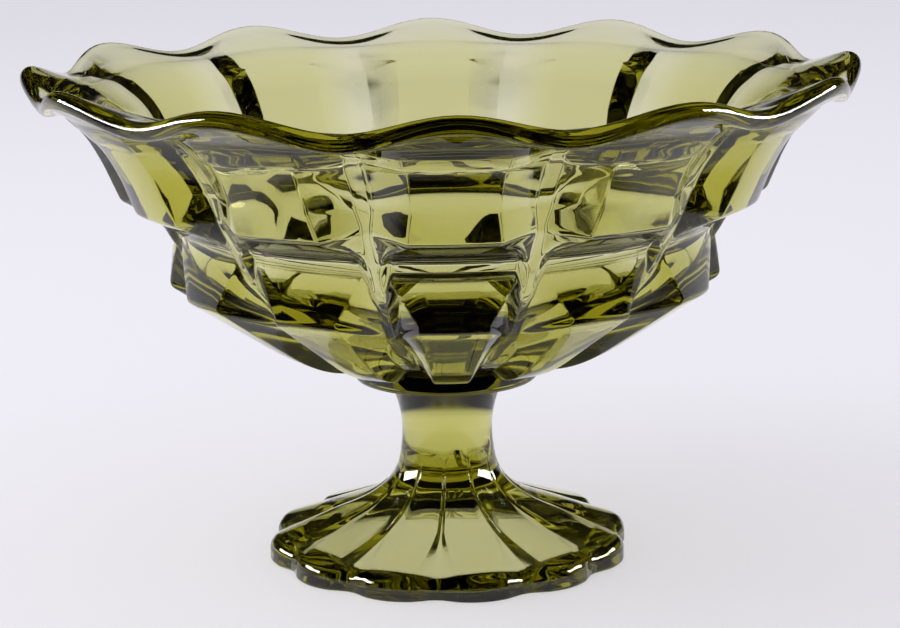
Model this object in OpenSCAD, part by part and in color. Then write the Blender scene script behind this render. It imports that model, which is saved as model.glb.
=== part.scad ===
// Footed compote bowl of pressed glass.
// Three gathers are joined hot: the panelled bowl, a plain collar disc and the stemmed petal foot.
// Bowl and foot are lofts between two outlines, one on the crest of a panel and one in the groove beside it.

/* [Bowl] */
// Number of panels round the bowl
panel_count = 12; // [8:1:16]
// Diameter over the crests of the rim
rim_d = 280; // [240:1:320]
// Height of the belly, from the seat to the lower edge
belly_h = 28.5; // [24:0.5:34]
// Height of the lower band, between the lower and the upper edge
lower_band_h = 29.5; // [25:0.5:34]
// Height of the upper band, between the upper edge and the shoulder
upper_band_h = 20.5; // [17:0.5:26]
// Height of the lip, from the shoulder to the crests of the rim
lip_h = 23; // [19:0.5:28]
// How far the lip reaches out past the shoulder
lip_reach = 24; // [19:0.5:29]
// How far the shoulder stands out past the upper edge
upper_lean = 8; // [5:0.5:12]
// How far the upper band overhangs the lower one
upper_step = 17.5; // [13:0.5:20]
// How far the lower edge bulges past the foot of the cove
lower_bulge = 2.5; // [0:0.1:4]
// Depth of the cove's slope, below the upper edge
cove_drop = 8; // [6:0.5:11]
// Diameter where the belly turns up from its flat bottom
belly_d = 102; // [88:1:116]
// Height of that turn above the seat
belly_rise = 0.7; // [0:0.1:3]
// Wall thickness at the lower edge
wall_t = 11.5; // [10:0.1:14]
// Thickness of the glass in the middle of the floor
floor_t = 11.5; // [8:0.5:14]

/* [Rim] */
// Radius of the rounded rim
lip_round = 3.1; // [2.5:0.1:4.5]
// Height of the rim's wave, from dip to crest
rim_wave_h = 6; // [0:0.1:8]
// Depth of the rim's wave in plan, from crest to dip
rim_wave_r = 4.5; // [0:0.1:7]

/* [Grooves] */
// Depth of the grooves at the shoulder
shoulder_groove = 9.5; // [5:0.1:11]
// How far the shoulder dips in the groove
shoulder_drop = 3.5; // [2:0.1:10]
// How far the end of the grooves lies out past the shoulder
underlip_out = 11; // [8:0.1:14]
// How far the end of the grooves lies above the shoulder
underlip_up = 9; // [6:0.1:11]
// Depth of the grooves under the lip
underlip_groove = 6.5; // [2:0.1:7.5]
// How far the groove rises under the lip
underlip_lift = 1.5; // [0:0.1:2]
// Depth of the grooves at the upper edge
upper_groove = 6.5; // [3:0.1:9]
// How far the upper edge rises in the groove
upper_lift = 3; // [0:0.1:4]
// How far the cove swells in the groove
cove_swell = 1; // [0:0.1:2]
// How far the cove dips in the groove
cove_dip = 6.5; // [3:0.1:8]
// Depth of the grooves at the lower edge
lower_groove = 18; // [10:0.1:21]
// How far the lower edge dips in the groove
lower_drop = 5.5; // [2:0.1:7]
// Depth of the grooves across the belly
belly_groove = 6; // [2:0.1:8]

/* [Collar] */
// Diameter of the collar disc
collar_d = 62.6; // [52:0.2:74]
// Thickness of the collar disc
collar_h = 7; // [5:0.1:10]
// Rounding of the collar's edges
collar_round = 1.6; // [0.5:0.1:2.4]

/* [Foot] */
// Number of petals round the foot
petal_count = 12; // [8:1:16]
// Turn of the petals against the panels, in degrees
foot_turn = 9; // [0:1:15]
// Diameter over the tips of the petals
foot_d = 124.4; // [110:0.2:140]
// Height of the foot, from the table to the collar
foot_h = 61.5; // [52:0.5:72]
// Height of the petals' outer edge
petal_edge_h = 7.5; // [5:0.1:10]
// Depth of the notches between the petals' tips
petal_notch = 3.5; // [1:0.1:6]
// Depth of the grooves between the petals
petal_groove = 1.2; // [0.5:0.1:2.5]
// Diameter of the stem at its waist
waist_d = 29.6; // [24:0.2:36]
// Height of the waist above the table
waist_h = 47; // [42:0.5:50]
// Diameter of the stem where it meets the collar
stem_top_d = 39; // [36:0.2:44]
// Height where the stem's line meets the petals' slope
flare_h = 22.5; // [19:0.5:27]
// Diameter where the stem's line meets the petals' slope
flare_d = 35.5; // [30:0.5:42]
// Diameter of the hollow under the foot
hollow_d = 94; // [76:1:100]
// Depth of the hollow under the foot
hollow_h = 15; // [8:0.5:17]

/* [Hidden] */

// Rows across half a panel or petal: how far the row is softened into a wave, and the shares of the half
// width at which its flat middle ends and the bottom of its groove starts
seat_row = [0, 0.40, 0.60];
belly_row = [0, 0.42, 0.75];
lower_row = [0, 0.45, 0.935];
cove_row = [0, 0.80, 0.94];
upper_row = [0, 0.50, 0.945];
shoulder_row = [0.1, 0.45, 0.90];
underlip_row = [0.1, 0.50, 0.92];
wave_row = [1, 0.36, 0.76];
notch_row = [0.6, 0.50, 0.90];
petal_row = [0, 0.88, 0.96];
// Columns on the sloping side of a panel and of a petal
panel_slope_steps = 2;
petal_slope_steps = 1;
// Points along one bend, over an edge and round the rim
bend_steps = 4;
edge_steps = 3;
lip_steps = 8;

// How far the bends reach from their corners
belly_reach = 16;
lower_reach = 2;
cove_reach = 6.5;
upper_reach = 1.6;
shoulder_reach = 14;
underlip_reach = 4;
inner_reach = 14;
floor_reach = 10;
petal_edge_reach = 4;
petal_base_reach = 1.2;
flare_reach = 19;
waist_reach = 8;
hollow_reach = 6;
// Where the inner bends lie, in walls across and up from the corners of the crest
belly_wall_shares = [-1.04, 0.61];
shoulder_wall_shares = [-1.63, -0.18];
flare_wall_shares = [-0.68, 0.9];
// Where the floor turns up, between the seat and the lower edge
floor_share = 0.1;
// Flat middle of the hollow under the foot, of its width
hollow_flat_share = 0.17;

// Heights above the table
seat_z = foot_h + collar_h;
lower_z = seat_z + belly_h;
upper_z = lower_z + lower_band_h;
shoulder_z = upper_z + upper_band_h;
rim_z = shoulder_z + lip_h;

// Radii of the crests
seat_r = collar_d / 2 - collar_round;
rim_r = rim_d / 2;
shoulder_r = rim_r - lip_reach;
upper_r = shoulder_r - upper_lean;
cove_r = upper_r - upper_step;
lower_r = cove_r + lower_bulge;
foot_r = foot_d / 2;

// Corners of the bowl's outside, on the crest of a panel
seat = [seat_r, seat_z];
belly = [belly_d / 2, seat_z + belly_rise];
lower = [lower_r, lower_z];
cove = [cove_r, upper_z - cove_drop];
upper = [upper_r, upper_z];
shoulder = [shoulder_r, shoulder_z];
underlip = shoulder + [underlip_out, underlip_up];
lip = [rim_r - lip_round, rim_z - lip_round];

// The same corners in the groove between two panels
belly_v = belly + [0, belly_groove];
lower_v = lower - [lower_groove, lower_drop];
cove_v = cove + [cove_swell, -cove_dip];
upper_v = upper + [-upper_groove, upper_lift];
shoulder_v = shoulder - [shoulder_groove, shoulder_drop];
underlip_v = underlip + [-underlip_groove, underlip_lift];
lip_v = lip - [rim_wave_r, rim_wave_h];

// Corners of the bowl's inside
inner_flare = shoulder + flare_wall_shares * wall_t;
inner_shoulder = shoulder + shoulder_wall_shares * wall_t;
inner_belly = lower + belly_wall_shares * wall_t;
inner_floor = [seat_r + (lower_r - seat_r) * floor_share, seat_z + floor_t];
floor_middle = [0, seat_z + floor_t];

// Corners of the foot, on the crest of a petal and in the groove
petal_base = [foot_r, 0];
petal_edge = [foot_r, petal_edge_h];
flare = [flare_d / 2, flare_h];
waist = [waist_d / 2, waist_h];
stem_top = [stem_top_d / 2, foot_h];
petal_base_v = petal_base - [petal_notch, 0];
petal_edge_v = petal_edge - [petal_notch, petal_groove];
flare_v = flare - [0, petal_groove];

// Corners of the hollow under the foot
hollow_middle = [0, hollow_h];
hollow_top = [hollow_flat_share * hollow_d / 2, hollow_h];
hollow_ring = [hollow_d / 2, 0];

function unit(v) = v / norm(v);

// Smooth bend at corner b, between the straight lines to a and c
function bend(a, b, c, reach, steps = bend_steps) =
    let (start = b + unit(a - b) * min(reach, norm(a - b) / 2))
    let (stop = b + unit(c - b) * min(reach, norm(c - b) / 2))
    [for (i = [0:steps])
        let (t = i / steps)
        start * pow(1 - t, 2) + b * 2 * t * (1 - t) + stop * pow(t, 2)];

// Direction of the line from a corner that touches the rim's round on one side
function tangent_turn(corner, centre, side) =
    let (gap = centre - corner)
    atan2(gap.y, gap.x) + side * asin(lip_round / norm(gap));

// The rounded rim, from the lip's underside over the top to its inside
function lip_arc(under, centre, inside) =
    let (from = tangent_turn(under, centre, -1) - 90)
    let (to = tangent_turn(inside, centre, 1) + 90)
    [for (i = [0:lip_steps])
        let (turn = from + (to - from) * i / lip_steps)
        centre + lip_round * [cos(turn), sin(turn)]];

// Rows of an outline that are alike across a panel, each a point and its row
function rows(points, across) = [for (p = points) [p, across]];

// Outline of the bowl from the edge of its seat, up the outside, over the rim and down to the floor
function bowl_outline(belly, lower, cove, upper, shoulder, underlip, lip) = concat(
    rows([seat], seat_row),
    rows(bend(seat, belly, lower, belly_reach), belly_row),
    rows(bend(belly, lower, cove, lower_reach, edge_steps), lower_row),
    rows(bend(lower, cove, upper, cove_reach), cove_row),
    rows(bend(cove, upper, shoulder, upper_reach, edge_steps), upper_row),
    rows(bend(upper, shoulder, underlip, shoulder_reach), shoulder_row),
    rows(bend(shoulder, underlip, lip, underlip_reach, edge_steps), underlip_row),
    rows(lip_arc(underlip, lip, inner_flare), wave_row),
    rows(bend(lip, inner_flare, inner_shoulder, floor_reach, edge_steps), wave_row),
    rows(bend(inner_flare, inner_shoulder, inner_belly, inner_reach), wave_row),
    rows(bend(inner_shoulder, inner_belly, inner_floor, inner_reach), wave_row),
    rows(bend(inner_belly, inner_floor, floor_middle, floor_reach, edge_steps), wave_row)
);

// Outline of the foot from the hollow, round the petal's edge and up the stem to the collar
function foot_outline(base, edge, flare) = concat(
    rows(bend(hollow_middle, hollow_top, hollow_ring, hollow_reach), notch_row),
    rows([hollow_ring], notch_row),
    rows(bend(hollow_ring, base, edge, petal_base_reach), notch_row),
    rows(bend(base, edge, flare, petal_edge_reach), notch_row),
    rows(bend(edge, flare, waist, flare_reach), petal_row),
    rows(bend(flare, waist, stem_top, waist_reach), wave_row),
    rows([stem_top], wave_row)
);

// Shares of the half width at which a row has its columns, from the crest to the groove
function columns_of(row, slope_steps) = concat(
    [0],
    [for (i = [0:slope_steps]) row[1] + (row[2] - row[1]) * i / slope_steps],
    [1]
);

// How far a column has sunk from the crest to the groove
function sink(share, row) =
    let (slope = min(max((share - row[1]) / (row[2] - row[1]), 0), 1))
    let (wave = (1 - cos(180 * share)) / 2)
    slope + (wave - slope) * row[0];

// Shares across a whole panel, from one groove up to the next
function full_width(half) = concat(
    [for (i = [len(half) - 1:-1:1]) -half[i]],
    [for (i = [0:len(half) - 2]) half[i]]
);

// Solid between a crest outline and a groove outline, repeated round the axis, with flat ends
module fluted_solid(crest, groove, count, slope_steps) {
    last = len(crest) - 1;
    points = [for (i = [0:last], k = [0:count - 1])
        let (top = crest[i][0])
        let (row = crest[i][1])
        for (share = full_width(columns_of(row, slope_steps)))
        let (place = top + (groove[i][0] - top) * sink(abs(share), row))
        let (turn = (k + share / 2) * 360 / count)
        [place.x * cos(turn), place.x * sin(turn), place.y]];
    columns = len(points) / (last + 1);
    walls = [for (i = [0:last - 1], j = [0:columns - 1])
        let (a = i * columns + j)
        let (b = i * columns + (j + 1) % columns)
        each [[a, a + columns, b], [b, a + columns, b + columns]]];
    start_cap = [for (j = [0:columns - 1]) j];
    end_cap = [for (j = [columns - 1:-1:0]) last * columns + j];
    polyhedron(points, concat(walls, [start_cap, end_cap]));
}

module bowl() {
    color("olive")
    fluted_solid(
        bowl_outline(belly, lower, cove, upper, shoulder, underlip, lip),
        bowl_outline(belly_v, lower_v, cove_v, upper_v, shoulder_v, underlip_v, lip_v),
        panel_count, panel_slope_steps);
}

// Flat disc with rounded edges, between the foot and the bowl
module collar() {
    color("darkolivegreen")
    translate([0, 0, foot_h])
    rotate_extrude($fn = 96) {
        square([collar_d / 2 - collar_round, collar_h]);
        translate([0, collar_round])
        square([collar_d / 2, collar_h - 2 * collar_round]);
        for (height = [collar_round, collar_h - collar_round])
            translate([collar_d / 2 - collar_round, height])
            circle(collar_round, $fn = 32);
    }
}

module foot() {
    color("olivedrab")
    rotate([0, 0, foot_turn])
    fluted_solid(
        foot_outline(petal_base, petal_edge, flare),
        foot_outline(petal_base_v, petal_edge_v, flare_v),
        petal_count, petal_slope_steps);
}

bowl();
collar();
foot();
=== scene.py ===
"""Footed compote bowl of olive-green pressed glass, standing on a pale studio floor."""

import math

import bmesh
import bpy
from bpy.props import FloatProperty, FloatVectorProperty, IntProperty, PointerProperty
from mathutils import Matrix, Vector


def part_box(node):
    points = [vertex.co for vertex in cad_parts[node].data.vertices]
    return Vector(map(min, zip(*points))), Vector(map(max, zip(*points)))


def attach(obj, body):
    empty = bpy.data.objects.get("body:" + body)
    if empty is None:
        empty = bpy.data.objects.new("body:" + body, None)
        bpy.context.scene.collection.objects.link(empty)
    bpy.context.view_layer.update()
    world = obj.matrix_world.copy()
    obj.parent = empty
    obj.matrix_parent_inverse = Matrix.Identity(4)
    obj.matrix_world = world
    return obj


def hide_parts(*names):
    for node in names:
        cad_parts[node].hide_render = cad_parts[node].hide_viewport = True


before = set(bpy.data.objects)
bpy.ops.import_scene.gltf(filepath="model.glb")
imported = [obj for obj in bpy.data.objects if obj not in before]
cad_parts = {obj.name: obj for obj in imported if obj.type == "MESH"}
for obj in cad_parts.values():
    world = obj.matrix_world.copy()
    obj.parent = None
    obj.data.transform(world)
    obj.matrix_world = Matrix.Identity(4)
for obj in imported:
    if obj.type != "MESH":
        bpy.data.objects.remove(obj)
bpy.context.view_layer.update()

bl_info = {
    "name": "Footed Compote Bowl",
    "version": (1, 0, 0),
    "blender": (4, 5, 0),
    "location": "3D View > Sidebar > Compote",
    "description": "Builds a pressed-glass compote bowl, its collar, its petal foot and a studio",
    "category": "Add Mesh",
}

# Boxes of the solids, in metres
BOWL_LOW, BOWL_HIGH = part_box("bowl")
COLLAR_LOW, COLLAR_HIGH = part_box("collar")
FOOT_LOW, FOOT_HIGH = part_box("foot")

MM = 0.001
BODY = "root"

# Rows across half a panel or petal: how far the row is softened into a wave, and the shares of the half
# width at which its flat middle ends and the bottom of its groove starts
SEAT_ROW = (0.0, 0.40, 0.60)
BELLY_ROW = (0.0, 0.42, 0.75)
LOWER_ROW = (0.0, 0.45, 0.935)
COVE_ROW = (0.0, 0.80, 0.94)
UPPER_ROW = (0.0, 0.50, 0.945)
SHOULDER_ROW = (0.1, 0.45, 0.90)
UNDERLIP_ROW = (0.1, 0.50, 0.92)
WAVE_ROW = (1.0, 0.36, 0.76)
NOTCH_ROW = (0.6, 0.50, 0.90)
PETAL_ROW = (0.0, 0.88, 0.96)
# Half the width of a rounded crease, as a share of half a panel
CREASE = 0.025

# Fineness of the meshes
PANEL_COLUMNS = 30
PETAL_COLUMNS = 30
BEND_STEPS = 14
LIP_STEPS = 24
LONGEST_EDGE = 1.6 * MM
COLLAR_SIDES = 256
COLLAR_ROUND_STEPS = 8
FLOOR_SIDES = 64
# Narrow ring inside the collar's rounding, which keeps the shading of its flat faces even
COLLAR_SUPPORT = 0.3 * MM

# Points nearer than this are one point
TOUCH = 0.001 * MM
# Gap left between faces that are fused on the real bowl, so that no two faces share a plane
JOINT_GAP = 0.02 * MM
# The floor lies this far under the foot
FLOOR_DROP = 0.1 * MM


def length(name, description, default):
    """A size in metres that a user may change."""
    return FloatProperty(
        name=name, description=description, default=default,
        min=0.0, precision=4, subtype="DISTANCE", unit="LENGTH")


def colour(name, description, default):
    """A linear colour that a user may change."""
    return FloatVectorProperty(
        name=name, description=description, default=default,
        size=3, min=0.0, max=1.0, subtype="COLOR")


def number(name, description, default):
    """A plain number that a user may change."""
    return FloatProperty(name=name, description=description, default=default, min=0.0)


class CompoteBowlSizes(bpy.types.PropertyGroup):
    """Sizes of the panelled bowl."""

    panel_count: IntProperty(
        name="Panels", description="Number of panels round the bowl", default=12, min=8, max=16)
    belly_h: length("Belly height", "From the seat to the lower edge", 28.5 * MM)
    lower_band_h: length("Lower band height", "From the lower to the upper edge", 29.5 * MM)
    upper_band_h: length("Upper band height", "From the upper edge to the shoulder", 21.1 * MM)
    lip_reach: length("Lip reach", "How far the lip reaches out past the shoulder", 22 * MM)
    upper_lean: length("Upper lean", "How far the shoulder stands out past the upper edge", 10 * MM)
    upper_step: length("Upper step", "How far the upper band overhangs the lower one", 17.5 * MM)
    lower_bulge: length("Lower bulge", "How far the lower edge bulges past the cove", 2.5 * MM)
    cove_drop: length("Cove drop", "Depth of the cove's slope below the upper edge", 8 * MM)
    belly_d: length("Belly diameter", "Where the belly turns up from its flat bottom", 102 * MM)
    belly_rise: length("Belly rise", "Height of that turn above the seat", 0.7 * MM)
    wall: length("Wall", "Thickness of the wall at the lower edge", 11.5 * MM)
    floor: length("Floor", "Thickness of the glass in the middle of the floor", 11.5 * MM)
    lip_round: length("Lip round", "Radius of the rounded rim", 3 * MM)
    rim_wave_h: length("Rim wave height", "From dip to crest of the rim", 6 * MM)
    rim_wave_r: length("Rim wave depth", "From crest to dip of the rim, in plan", 4.5 * MM)
    shoulder_groove: length("Shoulder groove", "Depth of the grooves at the shoulder", 11.5 * MM)
    shoulder_drop: length("Shoulder drop", "How far the shoulder dips in the groove", 4.1 * MM)
    underlip_out: length("Underlip reach", "From the shoulder out to the end of the groove", 7.3 * MM)
    underlip_up: length("Underlip rise", "From the shoulder up to the end of the groove", 6.9 * MM)
    underlip_groove: length("Underlip groove", "Depth of the grooves under the lip", 4.8 * MM)
    underlip_lift: length("Underlip lift", "How far the groove rises under the lip", 3 * MM)
    upper_groove: length("Upper groove", "Depth of the grooves at the upper edge", 6.5 * MM)
    upper_lift: length("Upper lift", "How far the upper edge rises in the groove", 3 * MM)
    cove_swell: length("Cove swell", "How far the cove swells in the groove", 1 * MM)
    cove_groove_drop: length("Cove dip", "How far the cove dips in the groove", 6.5 * MM)
    lower_groove: length("Lower groove", "Depth of the grooves at the lower edge", 18 * MM)
    lower_drop: length("Lower drop", "How far the lower edge dips in the groove", 5.5 * MM)
    belly_groove: length("Belly groove", "Depth of the grooves across the belly", 6 * MM)
    belly_reach: length("Belly bend", "Reach of the bend under the belly", 16 * MM)
    lower_reach: length("Lower bend", "Reach of the bend at the lower edge", 2 * MM)
    upper_reach: length("Upper bend", "Reach of the bend at the upper edge", 1.6 * MM)
    cove_reach: length("Cove bend", "Reach of the bend in the cove", 6.5 * MM)
    shoulder_reach: length("Shoulder bend", "Reach of the bend at the shoulder", 11.3 * MM)
    underlip_reach: length("Underlip bend", "Reach of the bend under the lip", 6 * MM)
    inner_reach: length("Inner bend", "Reach of the bends up the inside", 14 * MM)
    flare_reach: length("Flare bend", "Reach of the bends inside the flare", 5.2 * MM)
    floor_reach: length("Floor bend", "Reach of the bend at the floor", 10 * MM)


class CompoteCollarSizes(bpy.types.PropertyGroup):
    """Sizes of the collar disc."""

    round_edge: length("Rounding", "Rounding of the collar's edges", 1.6 * MM)


class CompoteFootSizes(bpy.types.PropertyGroup):
    """Sizes of the stem and the petal foot."""

    petal_count: IntProperty(
        name="Petals", description="Number of petals round the foot", default=12, min=8, max=16)
    turn: FloatProperty(
        name="Turn", description="Turn of the petals against the panels",
        default=math.radians(9), subtype="ANGLE", unit="ROTATION")
    foot_d: length("Foot diameter", "Over the tips of the petals", 124.4 * MM)
    petal_edge_h: length("Petal edge", "Height of the petals' outer edge", 7.5 * MM)
    petal_notch: length("Petal notch", "Depth of the notches between the tips", 3.5 * MM)
    petal_groove: length("Petal groove", "Depth of the grooves between petals", 1.2 * MM)
    waist_d: length("Waist diameter", "Diameter of the stem at its waist", 29.6 * MM)
    waist_h: length("Waist height", "Height of the waist above the table", 47 * MM)
    stem_top_d: length("Stem top", "Diameter of the stem where it meets the collar", 39 * MM)
    flare_h: length("Flare height", "Where the stem's line meets the petals' slope", 22.5 * MM)
    flare_d: length("Flare diameter", "Where the stem's line meets the petals' slope", 35.5 * MM)
    hollow_d: length("Hollow diameter", "Diameter of the hollow under the foot", 94 * MM)
    hollow_h: length("Hollow depth", "Depth of the hollow under the foot", 15 * MM)
    base_reach: length("Base bend", "Reach of the bend under the petals' edge", 1.2 * MM)
    edge_reach: length("Edge bend", "Reach of the bend over the petals' edge", 4 * MM)
    flare_reach: length("Flare bend", "Reach of the bend from petals to stem", 19 * MM)
    waist_reach: length("Waist bend", "Reach of the bend at the waist", 8 * MM)
    hollow_reach: length("Hollow bend", "Reach of the bend at the hollow's top", 6 * MM)


class CompoteGlassLook(bpy.types.PropertyGroup):
    """Looks of the pressed glass."""

    tint: colour("Tint", "Colour that the depth of the glass takes on", (0.75, 0.735, 0.05))
    density: number("Density", "How fast the tint deepens, per metre", 62.0)
    surface: colour("Surface", "Colour of the thin outer skin", (0.98, 0.98, 0.95))
    bend: number("Refraction", "Index of refraction", 1.52)
    polish: number("Roughness", "Roughness of the fire-polished surface", 0.0)
    ripple: number("Ripple", "Strength of the pressed surface's faint ripple", 0.04)


class CompoteStageLook(bpy.types.PropertyGroup):
    """Looks of the floor and place of the camera."""

    floor_colour: colour("Floor", "Colour of the floor", (0.86, 0.85, 0.90))
    floor_r: length("Floor radius", "Radius of the floor", 6.0)
    glow_near: number("Glow near", "Even light of the floor round the object", 0.98)
    glow_far: number("Glow far", "Even light of the floor far behind", 0.8)
    dark_colour: colour("Dark colour", "Colour of the floor's front end in the glass", (0.01, 0.01, 0.01))
    dark_from: length("Dark from", "Nearer to the camera than this, glass shows the floor dark", 0.78)
    dark_to: length("Dark to", "Farther from the camera than this, glass shows the floor as it is", 0.83)
    camera_distance: length("Camera distance", "From the axis, along the floor", 0.87545)
    camera_height: length("Camera height", "Above the floor", 0.27203)
    camera_turn: FloatProperty(
        name="Camera turn", description="Round the axis, from straight ahead of a panel",
        default=math.radians(1.72), subtype="ANGLE", unit="ROTATION")
    camera_pitch: FloatProperty(
        name="Camera pitch", description="How far the camera looks down",
        default=0.2216, subtype="ANGLE", unit="ROTATION")
    camera_roll: FloatProperty(
        name="Camera roll", description="Turn of the camera round its line of sight",
        default=-0.0148, subtype="ANGLE", unit="ROTATION")


# Drawing in profile: points are (radius, height), and a row is a point with the way it runs across a panel


def bend(before, corner, after, reach):
    """Points of a smooth bend at a corner, between the straight lines to two others."""
    back, ahead = before - corner, after - corner
    start = corner + back.normalized() * min(reach, back.length / 2)
    stop = corner + ahead.normalized() * min(reach, ahead.length / 2)
    points = []
    for step in range(BEND_STEPS + 1):
        t = step / BEND_STEPS
        points.append(start * (1 - t) ** 2 + corner * 2 * t * (1 - t) + stop * t ** 2)
    return points


def tangent_turn(corner, centre, radius, side):
    """Direction of the line from a corner that touches a circle on one side."""
    gap = centre - corner
    return math.atan2(gap.y, gap.x) + side * math.asin(radius / gap.length)


def lip_arc(under, centre, inside, radius):
    """Points of the rounded rim, from the lip's underside over the top to its inside."""
    first = tangent_turn(under, centre, radius, -1) - math.pi / 2
    last = tangent_turn(inside, centre, radius, 1) + math.pi / 2
    points = []
    for step in range(LIP_STEPS + 1):
        turn = first + (last - first) * step / LIP_STEPS
        points.append(centre + radius * Vector((math.cos(turn), math.sin(turn))))
    return points


def rows(points, across):
    """Rows of an outline that are alike across a panel."""
    return [(point, across) for point in points]


# Where the inner bends lie, in walls across and up from the corners of the crest
BELLY_WALL_SHARES = Vector((-1.04, 0.61))
SHOULDER_WALL_SHARES = Vector((-1.88, -0.51))
FLARE_WALL_SHARES = Vector((-1.27, 0.55))
RIM_WALL_SHARES = Vector((-0.31, 1.27))
# Where the floor turns up, between the seat and the lower edge
FLOOR_SHARE = 0.1
# Flat middle of the hollow under the foot, of its width
HOLLOW_FLAT_SHARE = 0.17


def bowl_corners(size):
    """Corners of the bowl's outlines: those on the crest of a panel, those in its groove, those inside."""
    seat_r = COLLAR_HIGH.x - bpy.context.scene.compote_collar.round_edge
    seat_z = BOWL_LOW.z
    lower_z = seat_z + size.belly_h
    upper_z = lower_z + size.lower_band_h
    shoulder_z = upper_z + size.upper_band_h
    shoulder_r = BOWL_HIGH.x - size.lip_reach
    upper_r = shoulder_r - size.upper_lean
    cove_r = upper_r - size.upper_step
    lower_r = cove_r + size.lower_bulge
    crest = {
        "belly": Vector((size.belly_d / 2, seat_z + size.belly_rise)),
        "lower": Vector((lower_r, lower_z)),
        "cove": Vector((cove_r, upper_z - size.cove_drop)),
        "upper": Vector((upper_r, upper_z)),
        "shoulder": Vector((shoulder_r, shoulder_z)),
        "underlip": Vector((shoulder_r + size.underlip_out, shoulder_z + size.underlip_up)),
        "lip": Vector((BOWL_HIGH.x - size.lip_round, BOWL_HIGH.z - size.lip_round)),
    }
    groove = {
        "belly": crest["belly"] + Vector((0, size.belly_groove)),
        "lower": crest["lower"] - Vector((size.lower_groove, size.lower_drop)),
        "cove": crest["cove"] + Vector((size.cove_swell, -size.cove_groove_drop)),
        "upper": crest["upper"] + Vector((-size.upper_groove, size.upper_lift)),
        "shoulder": crest["shoulder"] - Vector((size.shoulder_groove, size.shoulder_drop)),
        "underlip": crest["underlip"] + Vector((-size.underlip_groove, size.underlip_lift)),
        "lip": crest["lip"] - Vector((size.rim_wave_r, size.rim_wave_h)),
    }
    floor_z = seat_z + size.floor
    inside = {
        "seat_middle": Vector((0, seat_z)),
        "seat": Vector((seat_r, seat_z)),
        "rim": crest["shoulder"] + size.wall * RIM_WALL_SHARES,
        "flare": crest["shoulder"] + size.wall * FLARE_WALL_SHARES,
        "shoulder": crest["shoulder"] + size.wall * SHOULDER_WALL_SHARES,
        "belly": crest["lower"] + size.wall * BELLY_WALL_SHARES,
        "floor": Vector((seat_r + (lower_r - seat_r) * FLOOR_SHARE, floor_z)),
        "floor_middle": Vector((0, floor_z)),
    }
    return crest, groove, inside


def bowl_outline(size, side, inside):
    """One outline of the bowl, from the middle of its seat up the outside and down to its floor."""
    seat, rim, flare, shoulder, belly, floor = (
        inside[name] for name in ("seat", "rim", "flare", "shoulder", "belly", "floor"))
    return (
        rows([inside["seat_middle"], seat], SEAT_ROW)
        + rows(bend(seat, side["belly"], side["lower"], size.belly_reach), BELLY_ROW)
        + rows(bend(side["belly"], side["lower"], side["cove"], size.lower_reach), LOWER_ROW)
        + rows(bend(side["lower"], side["cove"], side["upper"], size.cove_reach), COVE_ROW)
        + rows(bend(side["cove"], side["upper"], side["shoulder"], size.upper_reach), UPPER_ROW)
        + rows(bend(side["upper"], side["shoulder"], side["underlip"], size.shoulder_reach), SHOULDER_ROW)
        + rows(bend(side["shoulder"], side["underlip"], side["lip"], size.underlip_reach), UNDERLIP_ROW)
        + rows(lip_arc(side["underlip"], side["lip"], rim, size.lip_round), WAVE_ROW)
        + rows(bend(side["lip"], rim, flare, size.flare_reach), WAVE_ROW)
        + rows(bend(rim, flare, shoulder, size.flare_reach), WAVE_ROW)
        + rows(bend(flare, shoulder, belly, size.inner_reach), WAVE_ROW)
        + rows(bend(shoulder, belly, floor, size.inner_reach), WAVE_ROW)
        + rows(bend(belly, floor, inside["floor_middle"], size.floor_reach), WAVE_ROW)
        + rows([inside["floor_middle"]], WAVE_ROW)
    )


def foot_outline(size, in_groove):
    """One outline of the foot, on the crest of a petal or in a groove, from the hollow up to the collar."""
    notch = size.petal_notch * in_groove
    dip = size.petal_groove * in_groove
    base = Vector((size.foot_d / 2 - notch, FOOT_LOW.z))
    edge = Vector((size.foot_d / 2 - notch, FOOT_LOW.z + size.petal_edge_h - dip))
    flare = Vector((size.flare_d / 2, size.flare_h - dip))
    waist = Vector((size.waist_d / 2, size.waist_h))
    top = Vector((size.stem_top_d / 2, FOOT_HIGH.z))
    ring = Vector((size.hollow_d / 2, FOOT_LOW.z))
    hollow_top = Vector((HOLLOW_FLAT_SHARE * size.hollow_d / 2, size.hollow_h))
    hollow_middle = Vector((0, size.hollow_h))
    return (
        rows([hollow_middle], NOTCH_ROW)
        + rows(bend(hollow_middle, hollow_top, ring, size.hollow_reach), NOTCH_ROW)
        + rows([ring], NOTCH_ROW)
        + rows(bend(ring, base, edge, size.base_reach), NOTCH_ROW)
        + rows(bend(base, edge, flare, size.edge_reach), NOTCH_ROW)
        + rows(bend(edge, flare, waist, size.flare_reach), PETAL_ROW)
        + rows(bend(flare, waist, top, size.waist_reach), WAVE_ROW)
        + rows([top, Vector((0, FOOT_HIGH.z))], WAVE_ROW)
    )


# Meshes


# What each point of an outline knows, beside its place on the crest
LAYERS = ("groove_r", "groove_z", "soft", "flat", "bottom")


def draw_outline(bm, crest, groove):
    """Draws the crest outline as a chain of edges whose points also know their place in the groove."""
    layers = [bm.verts.layers.float.new(name) for name in LAYERS]
    chain = []
    for (point, across), (sunk, _) in zip(crest, groove):
        vert = bm.verts.new((point.x, 0, point.y))
        for layer, known in zip(layers, (*sunk, *across)):
            vert[layer] = known
        chain.append(vert)
    for edge in [bm.edges.new(pair) for pair in zip(chain, chain[1:])]:
        cuts = int(edge.calc_length() / LONGEST_EDGE)
        if cuts:
            bmesh.ops.subdivide_edges(bm, edges=[edge], cuts=cuts)


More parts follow.
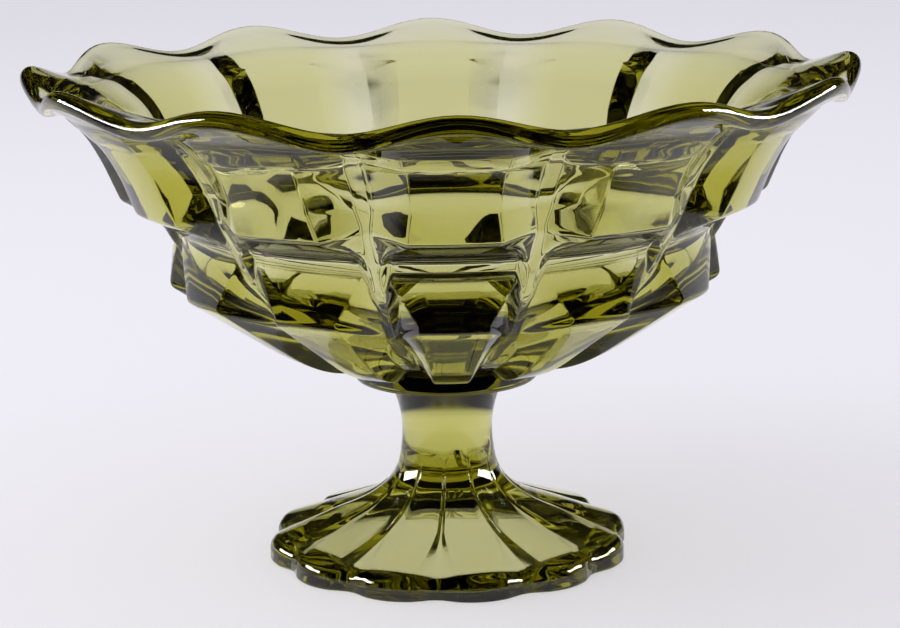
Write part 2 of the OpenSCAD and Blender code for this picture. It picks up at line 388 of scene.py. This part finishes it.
def gather(evenly, flat, bottom):
    """Moves an evenly spaced column so that several fall on each crease."""
    stops = (0, flat - CREASE, flat + CREASE, bottom - CREASE, bottom + CREASE, 1)
    stretch = min(int(evenly * (len(stops) - 1)), len(stops) - 2)
    along = evenly * (len(stops) - 1) - stretch
    return stops[stretch] * (1 - along) + stops[stretch + 1] * along


def past_crease(beyond):
    """How far a slope that starts at a rounded crease has come, given the way beyond the crease."""
    if beyond <= -CREASE:
        return 0
    if beyond >= CREASE:
        return beyond
    return (beyond + CREASE) ** 2 / (4 * CREASE)


def sink(share, soft, flat, bottom):
    """How far a point has sunk from the crest, at 0, to the groove, at 1."""
    side = (past_crease(share - flat) - past_crease(share - bottom)) / (bottom - flat)
    wave = (1 - math.cos(math.pi * share)) / 2
    return (1 - soft) * side + soft * wave


def sink_panel(bm, pitch):
    """Sinks the points of one plain panel towards the grooves on both its sides."""
    layers = [bm.verts.layers.float[name] for name in LAYERS]
    for vert in bm.verts:
        radius = math.hypot(vert.co.x, vert.co.y)
        if radius < TOUCH:
            continue
        groove_r, groove_z, soft, flat, bottom = (vert[layer] for layer in layers)
        evenly = 2 * math.atan2(vert.co.y, vert.co.x) / pitch
        share = gather(min(abs(evenly), 1), flat, bottom)
        depth = sink(share, soft, flat, bottom)
        radius += (groove_r - radius) * depth
        height = vert.co.z + (groove_z - vert.co.z) * depth
        turn = math.copysign(share, evenly) * pitch / 2
        vert.co = (radius * math.cos(turn), radius * math.sin(turn), height)


def fluted_mesh(crest, groove, count, columns):
    """A closed shape between a crest outline and a groove outline, repeated round the axis."""
    bm = bmesh.new()
    draw_outline(bm, crest, groove)
    pitch = math.tau / count
    up = Vector((0, 0, 1))
    bmesh.ops.rotate(bm, verts=bm.verts[:], matrix=Matrix.Rotation(-pitch / 2, 3, up))
    bmesh.ops.spin(
        bm, geom=bm.verts[:] + bm.edges[:], axis=up, angle=pitch, steps=columns)
    sink_panel(bm, pitch)
    bmesh.ops.spin(
        bm, geom=bm.verts[:] + bm.edges[:] + bm.faces[:], axis=up,
        angle=math.tau - pitch, steps=count - 1, use_duplicate=True)
    bmesh.ops.remove_doubles(bm, verts=bm.verts[:], dist=TOUCH)
    bmesh.ops.recalc_face_normals(bm, faces=bm.faces[:])
    return bm


def mark_joint(bm, height, radius):
    """Gives the flat faces that are fused to another piece the second material and a sharp edge."""
    for face in bm.faces:
        face.smooth = True
        face.material_index |= int(all(
            abs(vert.co.z - height) < TOUCH and vert.co.xy.length < radius + TOUCH
            for vert in face.verts))
    for edge in bm.edges:
        edge.smooth = len({face.material_index for face in edge.link_faces}) == 1


def add_piece(bm, name, node, slot, look):
    """Makes the finished mesh an object that stands for a node of the solids."""
    mesh = bpy.data.meshes.new(name)
    bm.to_mesh(mesh)
    bm.free()
    piece = bpy.data.objects.new(name, mesh)
    bpy.context.scene.collection.objects.link(piece)
    mesh.materials.append(pressed_glass(slot, look))
    mesh.materials.append(fused_joint(slot, look))
    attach(piece, BODY)
    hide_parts(node)
    return piece


# Shading


class Value:
    """A number out of a socket. Sums on it add Math nodes."""

    def __init__(self, shading, socket):
        self.shading = shading
        self.socket = socket

    def calculate(self, operation, first, second):
        """A Math node on two values or plain numbers."""
        node = self.shading.node("ShaderNodeMath", {"operation": operation}, {0: first, 1: second})
        return Value(self.shading, node.outputs["Value"])

    def either(self, other):
        """The larger of two values."""
        return self.calculate("MAXIMUM", self, other)

    def below(self, limit):
        """1 where the value is below a limit, and 0 elsewhere."""
        return self.calculate("LESS_THAN", self, limit)

    def __add__(self, other):
        return self.calculate("ADD", self, other)

    def __radd__(self, other):
        return self.calculate("ADD", other, self)

    def __sub__(self, other):
        return self.calculate("SUBTRACT", self, other)

    def __rsub__(self, other):
        return self.calculate("SUBTRACT", other, self)

    def __mul__(self, other):
        return self.calculate("MULTIPLY", self, other)

    def __rmul__(self, other):
        return self.calculate("MULTIPLY", other, self)


class Shading:
    """The nodes of one material or of the surroundings."""

    def __init__(self, tree):
        self.tree = tree
        tree.nodes.clear()

    def node(self, kind, settings=None, sockets=None):
        """A node of one type, with its settings set first and then its sockets set or linked."""
        node = self.tree.nodes.new(kind)
        for name, setting in (settings or {}).items():
            setattr(node, name, setting)
        for name, source in (sockets or {}).items():
            if isinstance(source, Value):
                source = source.socket
            if isinstance(source, bpy.types.NodeSocket):
                self.tree.links.new(source, node.inputs[name])
            else:
                node.inputs[name].default_value = source
        return node

    def value(self, kind, output, settings=None, sockets=None):
        """One output of a new node, for sums."""
        return Value(self, self.node(kind, settings, sockets).outputs[output])


def new_material(name):
    """An empty material and its shading."""
    material = bpy.data.materials.new(name)
    material.use_nodes = True
    return material, Shading(material.node_tree)


def tinted_depth(shading, look):
    """The tint inside the glass, which deepens with every millimetre that light goes through."""
    return shading.node("ShaderNodeVolumeAbsorption", None, {
        "Color": (*look.tint, 1), "Density": look.density}).outputs["Volume"]


# The faint ripple of the glass: waves per metre, how many finer waves it has, their weight, and its depth
RIPPLE_SCALE = 55.0
RIPPLE_DETAIL = 2.0
RIPPLE_FINE = 0.4
RIPPLE_DEPTH = 0.4 * MM


def pressed_glass(slot, look):
    """Clear tinted glass with the faint ripple that a press leaves."""
    material, shading = new_material(slot)
    place = shading.node("ShaderNodeTexCoord").outputs["Object"]
    ripple = shading.value("ShaderNodeTexNoise", "Fac", None, {
        "Vector": place, "Scale": RIPPLE_SCALE, "Detail": RIPPLE_DETAIL, "Roughness": RIPPLE_FINE})
    bump = shading.node("ShaderNodeBump", None, {
        "Strength": look.ripple, "Distance": RIPPLE_DEPTH, "Height": ripple})
    glass = shading.node("ShaderNodeBsdfPrincipled", None, {
        "Base Color": (*look.surface, 1),
        "Roughness": look.polish,
        "IOR": look.bend,
        "Transmission Weight": 1.0,
        "Normal": bump.outputs["Normal"],
    })
    shading.node("ShaderNodeOutputMaterial", None, {
        "Surface": glass.outputs["BSDF"], "Volume": tinted_depth(shading, look)})
    return material


def fused_joint(slot, look):
    """The faces where two pieces melted together: nothing shows there but the glass on both sides."""
    material, shading = new_material(slot + "_joint")
    clear = shading.node("ShaderNodeBsdfTransparent")
    shading.node("ShaderNodeOutputMaterial", None, {
        "Surface": clear.outputs["BSDF"], "Volume": tinted_depth(shading, look)})
    return material


# A count of bounces below this is none
ANY_BOUNCE = 0.5


def out_of_glass(shading, path):
    """1 for what shows in the glass, and 0 for what the camera sees itself and for light on the floor."""
    glossy, through, matt_bounces = (Value(shading, path.outputs[name]) for name in (
        "Is Glossy Ray", "Is Transmission Ray", "Diffuse Depth"))
    return glossy.either(through) * matt_bounces.below(ANY_BOUNCE)


def ramp(shading, along, first, last, start, stop):
    """A value that eases from one number to another while a second value goes from first to last."""
    return shading.value("ShaderNodeMapRange", "Result", {"interpolation_type": "SMOOTHSTEP"}, {
        "Value": along, "From Min": first, "From Max": last, "To Min": start, "To Max": stop})


def blend(shading, factor, first, second):
    """A blend of two surfaces: the first where the factor is 0, the second where it is 1."""
    return shading.node("ShaderNodeMixShader", None, {0: factor, 1: first, 2: second}).outputs["Shader"]


# Share of the floor's light that is even, without the shadow
GLOW_SHARE = 0.5
# The even light goes from near to far between these distances from the object, in metres
FADE_FROM = 0.5
FADE_TO = 2.2


def floor_material(look):
    """Pale matt floor, partly lit evenly, whose front end shows dark in the glass."""
    material, shading = new_material("pale_floor")
    place = shading.node("ShaderNodeTexCoord")
    path = shading.node("ShaderNodeLightPath")
    in_glass = out_of_glass(shading, path)
    seen = in_glass.either(Value(shading, path.outputs["Is Camera Ray"]))
    from_object = shading.value(
        "ShaderNodeVectorMath", "Value", {"operation": "LENGTH"}, {0: place.outputs["Object"]})
    from_camera = shading.value("ShaderNodeSeparateXYZ", "Z", None, {"Vector": place.outputs["Camera"]})
    matt, unlit = (
        shading.node("ShaderNodeBsdfDiffuse", None, {"Color": (*shade, 1)}).outputs["BSDF"]
        for shade in (look.floor_colour, look.dark_colour))
    glow_near, glow_far = (
        shading.node("ShaderNodeEmission", None, {
            "Color": (*look.floor_colour, 1), "Strength": strength}).outputs["Emission"]
        for strength in (look.glow_near, look.glow_far))
    fade = ramp(shading, from_object, FADE_FROM, FADE_TO, 0.0, 1.0)
    lit = blend(shading, seen * GLOW_SHARE, matt, blend(shading, fade, glow_near, glow_far))
    front = ramp(shading, from_camera, look.dark_from, look.dark_to, 1.0, 0.0)
    surface = blend(shading, in_glass * front, lit, unlit)
    shading.node("ShaderNodeOutputMaterial", None, {"Surface": surface})
    return material


def add_floor(look):
    """The pale floor under the foot."""
    bm = bmesh.new()
    bmesh.ops.create_circle(bm, cap_ends=True, radius=look.floor_r, segments=FLOOR_SIDES)
    bmesh.ops.translate(bm, verts=bm.verts[:], vec=(0, 0, -FLOOR_DROP))
    mesh = bpy.data.meshes.new("floor")
    bm.to_mesh(mesh)
    bm.free()
    mesh.materials.append(floor_material(look))
    floor = bpy.data.objects.new("floor", mesh)
    bpy.context.scene.collection.objects.link(floor)


# The camera's sensor and lens in millimetres, the shift of its picture, and its near end in metres
SENSOR_WIDTH = 36.0
LENS = 105.2
SHIFT_X = 0.0046
SHIFT_Y = 0.0264
CLIP_START = 0.01


def add_camera(look):
    """The camera at the photograph's place."""
    camera = bpy.data.cameras.new("camera")
    camera.sensor_width = SENSOR_WIDTH
    camera.lens = LENS
    camera.shift_x = SHIFT_X
    camera.shift_y = SHIFT_Y
    camera.clip_start = CLIP_START
    eye = bpy.data.objects.new("camera", camera)
    bpy.context.scene.collection.objects.link(eye)
    turn = Matrix.Rotation(-look.camera_turn, 4, "Z")
    place = Matrix.Translation((0, -look.camera_distance, look.camera_height))
    down = Matrix.Rotation(math.pi / 2 - look.camera_pitch, 4, "X")
    roll = Matrix.Rotation(look.camera_roll, 4, "Z")
    eye.matrix_world = turn @ place @ down @ roll
    bpy.context.scene.camera = eye


# Soft lamps: place, width and height in metres, power in watts, and whether they light the floor or are
# mirrored in the glass
LAMPS = {
    "softbox_left": ((-1.2, 0.05, 0.43), (0.9, 0.3), 21.0, False),
    "softbox_right": ((1.2, 0.05, 0.43), (0.9, 0.3), 21.0, False),
    "lamp_left": ((-0.9, -0.1, 1.1), (0.9, 0.9), 5.0, True),
}
# Where they look, inside the bowl
LAMP_AIM = Vector((0, 0, 0.1))


def add_lamp(name, place, size, power, on_floor):
    """A large soft lamp that looks at the bowl."""
    lamp = bpy.data.lights.new(name, "AREA")
    lamp.shape = "RECTANGLE"
    lamp.size, lamp.size_y = size
    lamp.energy = power
    box = bpy.data.objects.new(name, lamp)
    bpy.context.scene.collection.objects.link(box)
    box.location = place
    box.visible_diffuse = on_floor
    box.visible_glossy = not on_floor
    box.visible_transmission = False
    aim = LAMP_AIM - Vector(place)
    box.rotation_euler = aim.to_track_quat("-Z", "Y").to_euler()


# The room as glass shows it. Its light falls with the height of the direction, from the floor's level up,
# and falls again towards the camera's side.
ROOM_HEIGHTS = (0.0, 0.13)
ROOM_LIGHT = (0.8, 0.01)
ROOM_SIDES = (-0.2, 0.3)
ROOM_SHARES = (0.02, 1.0)


def add_surroundings(look):
    """A room pale all over to the camera, which glass shows dark above and on the camera's side."""
    world = bpy.data.worlds.new("studio")
    bpy.context.scene.world = world
    world.use_nodes = True
    world.cycles.sampling_method = "NONE"
    shading = Shading(world.node_tree)
    in_glass = out_of_glass(shading, shading.node("ShaderNodeLightPath"))
    direction = shading.node("ShaderNodeTexCoord")
    height, ahead = (
        shading.value("ShaderNodeSeparateXYZ", "Z", None, {"Vector": direction.outputs[name]})
        for name in ("Generated", "Camera"))
    room = (
        ramp(shading, height, *ROOM_HEIGHTS, *ROOM_LIGHT)
        * ramp(shading, ahead, *ROOM_SIDES, *ROOM_SHARES))
    strength = in_glass * room + (1 - in_glass)
    background = shading.node("ShaderNodeBackground", None, {
        "Color": (*look.floor_colour, 1), "Strength": strength})
    shading.node("ShaderNodeOutputWorld", None, {"Surface": background.outputs["Background"]})


# Bounces of light in the glass and off its surface, and the brightest that bounced light may be
GLASS_BOUNCES = 32
GLOSSY_BOUNCES = 16
BRIGHTEST = 6.0


def set_up_render():
    """Plain colours, and enough bounces for thick glass."""
    scene = bpy.context.scene
    scene.view_settings.view_transform = "Standard"
    scene.cycles.max_bounces = GLASS_BOUNCES
    scene.cycles.transmission_bounces = GLASS_BOUNCES
    scene.cycles.transparent_max_bounces = GLASS_BOUNCES
    scene.cycles.glossy_bounces = GLOSSY_BOUNCES
    scene.cycles.sample_clamp_indirect = BRIGHTEST
    scene.cycles.use_denoising = True


# Operators


class COMPOTE_OT_bowl(bpy.types.Operator):
    """Build the panelled glass bowl"""

    bl_idname = "compote.bowl"
    bl_label = "Bowl"

    def execute(self, context):
        size = context.scene.compote_bowl
        crest, groove, inside = bowl_corners(size)
        bm = fluted_mesh(
            bowl_outline(size, crest, inside), bowl_outline(size, groove, inside),
            size.panel_count, PANEL_COLUMNS)
        mark_joint(bm, inside["seat"].y, inside["seat"].x)
        add_piece(bm, "glass_bowl", "bowl", "bowl_glass", context.scene.compote_glass)
        return {"FINISHED"}


class COMPOTE_OT_collar(bpy.types.Operator):
    """Build the glass disc between bowl and stem"""

    bl_idname = "compote.collar"
    bl_label = "Collar"

    def execute(self, context):
        size = context.scene.compote_collar
        flat_r = COLLAR_HIGH.x - size.round_edge
        stem_r = context.scene.compote_foot.stem_top_d / 2
        low, high = COLLAR_LOW.z + JOINT_GAP, COLLAR_HIGH.z - JOINT_GAP
        bm = bmesh.new()
        bmesh.ops.create_cone(
            bm, cap_ends=True, segments=COLLAR_SIDES,
            radius1=COLLAR_HIGH.x, radius2=COLLAR_HIGH.x, depth=high - low,
            matrix=Matrix.Translation((0, 0, (low + high) / 2)))
        ends = [face for face in bm.faces if len(face.verts) == COLLAR_SIDES]
        rims = list({edge for face in ends for edge in face.edges})
        bmesh.ops.bevel(
            bm, geom=rims, offset=size.round_edge, segments=COLLAR_ROUND_STEPS,
            profile=0.5, affect="EDGES", material=-1)
        ends = [face for face in bm.faces if len(face.verts) == COLLAR_SIDES]
        bmesh.ops.inset_region(bm, faces=ends, thickness=COLLAR_SUPPORT)
        bottom = [face for face in ends if face.calc_center_median().z < (low + high) / 2]
        bmesh.ops.inset_region(bm, faces=bottom, thickness=flat_r - COLLAR_SUPPORT - stem_r)
        bmesh.ops.recalc_face_normals(bm, faces=bm.faces[:])
        mark_joint(bm, low, stem_r)
        mark_joint(bm, high, flat_r)
        add_piece(bm, "glass_collar", "collar", "collar_glass", context.scene.compote_glass)
        return {"FINISHED"}


class COMPOTE_OT_foot(bpy.types.Operator):
    """Build the glass stem and its petal foot"""

    bl_idname = "compote.foot"
    bl_label = "Foot"

    def execute(self, context):
        size = context.scene.compote_foot
        bm = fluted_mesh(
            foot_outline(size, 0), foot_outline(size, 1),
            size.petal_count, PETAL_COLUMNS)
        bmesh.ops.rotate(bm, verts=bm.verts[:], matrix=Matrix.Rotation(size.turn, 3, "Z"))
        mark_joint(bm, FOOT_HIGH.z, size.stem_top_d / 2)
        add_piece(bm, "glass_foot", "foot", "foot_glass", context.scene.compote_glass)
        return {"FINISHED"}


class COMPOTE_OT_stage(bpy.types.Operator):
    """Set up the floor, the lamps, the surroundings and the camera"""

    bl_idname = "compote.stage"
    bl_label = "Stage"

    def execute(self, context):
        look = context.scene.compote_stage
        set_up_render()
        add_floor(look)
        add_surroundings(look)
        for name, lamp in LAMPS.items():
            add_lamp(name, *lamp)
        add_camera(look)
        return {"FINISHED"}


class VIEW3D_PT_compote(bpy.types.Panel):
    """Lists the pieces of the compote bowl"""

    bl_label = "Compote"
    bl_idname = "VIEW3D_PT_compote"
    bl_space_type = "VIEW_3D"
    bl_region_type = "UI"
    bl_category = "Compote"

    def draw(self, context):
        for step in STEPS:
            self.layout.operator(step.bl_idname)


STEPS = (COMPOTE_OT_stage, COMPOTE_OT_bowl, COMPOTE_OT_collar, COMPOTE_OT_foot)
SETTINGS = {
    "compote_bowl": CompoteBowlSizes,
    "compote_collar": CompoteCollarSizes,
    "compote_foot": CompoteFootSizes,
    "compote_glass": CompoteGlassLook,
    "compote_stage": CompoteStageLook,
}
CLASSES = (*SETTINGS.values(), *STEPS, VIEW3D_PT_compote)


def register():
    """Adds the settings, operators and panel."""
    for item in CLASSES:
        bpy.utils.register_class(item)
    for name, group in SETTINGS.items():
        setattr(bpy.types.Scene, name, PointerProperty(type=group))


def unregister():
    """Takes the settings, operators and panel away again."""
    for name in SETTINGS:
        delattr(bpy.types.Scene, name)
    for item in reversed(CLASSES):
        bpy.utils.unregister_class(item)


def main():
    """Builds everything in order."""
    register()
    bpy.ops.compote.stage()
    bpy.ops.compote.bowl()
    bpy.ops.compote.collar()
    bpy.ops.compote.foot()


if __name__ == "__main__":
    main()
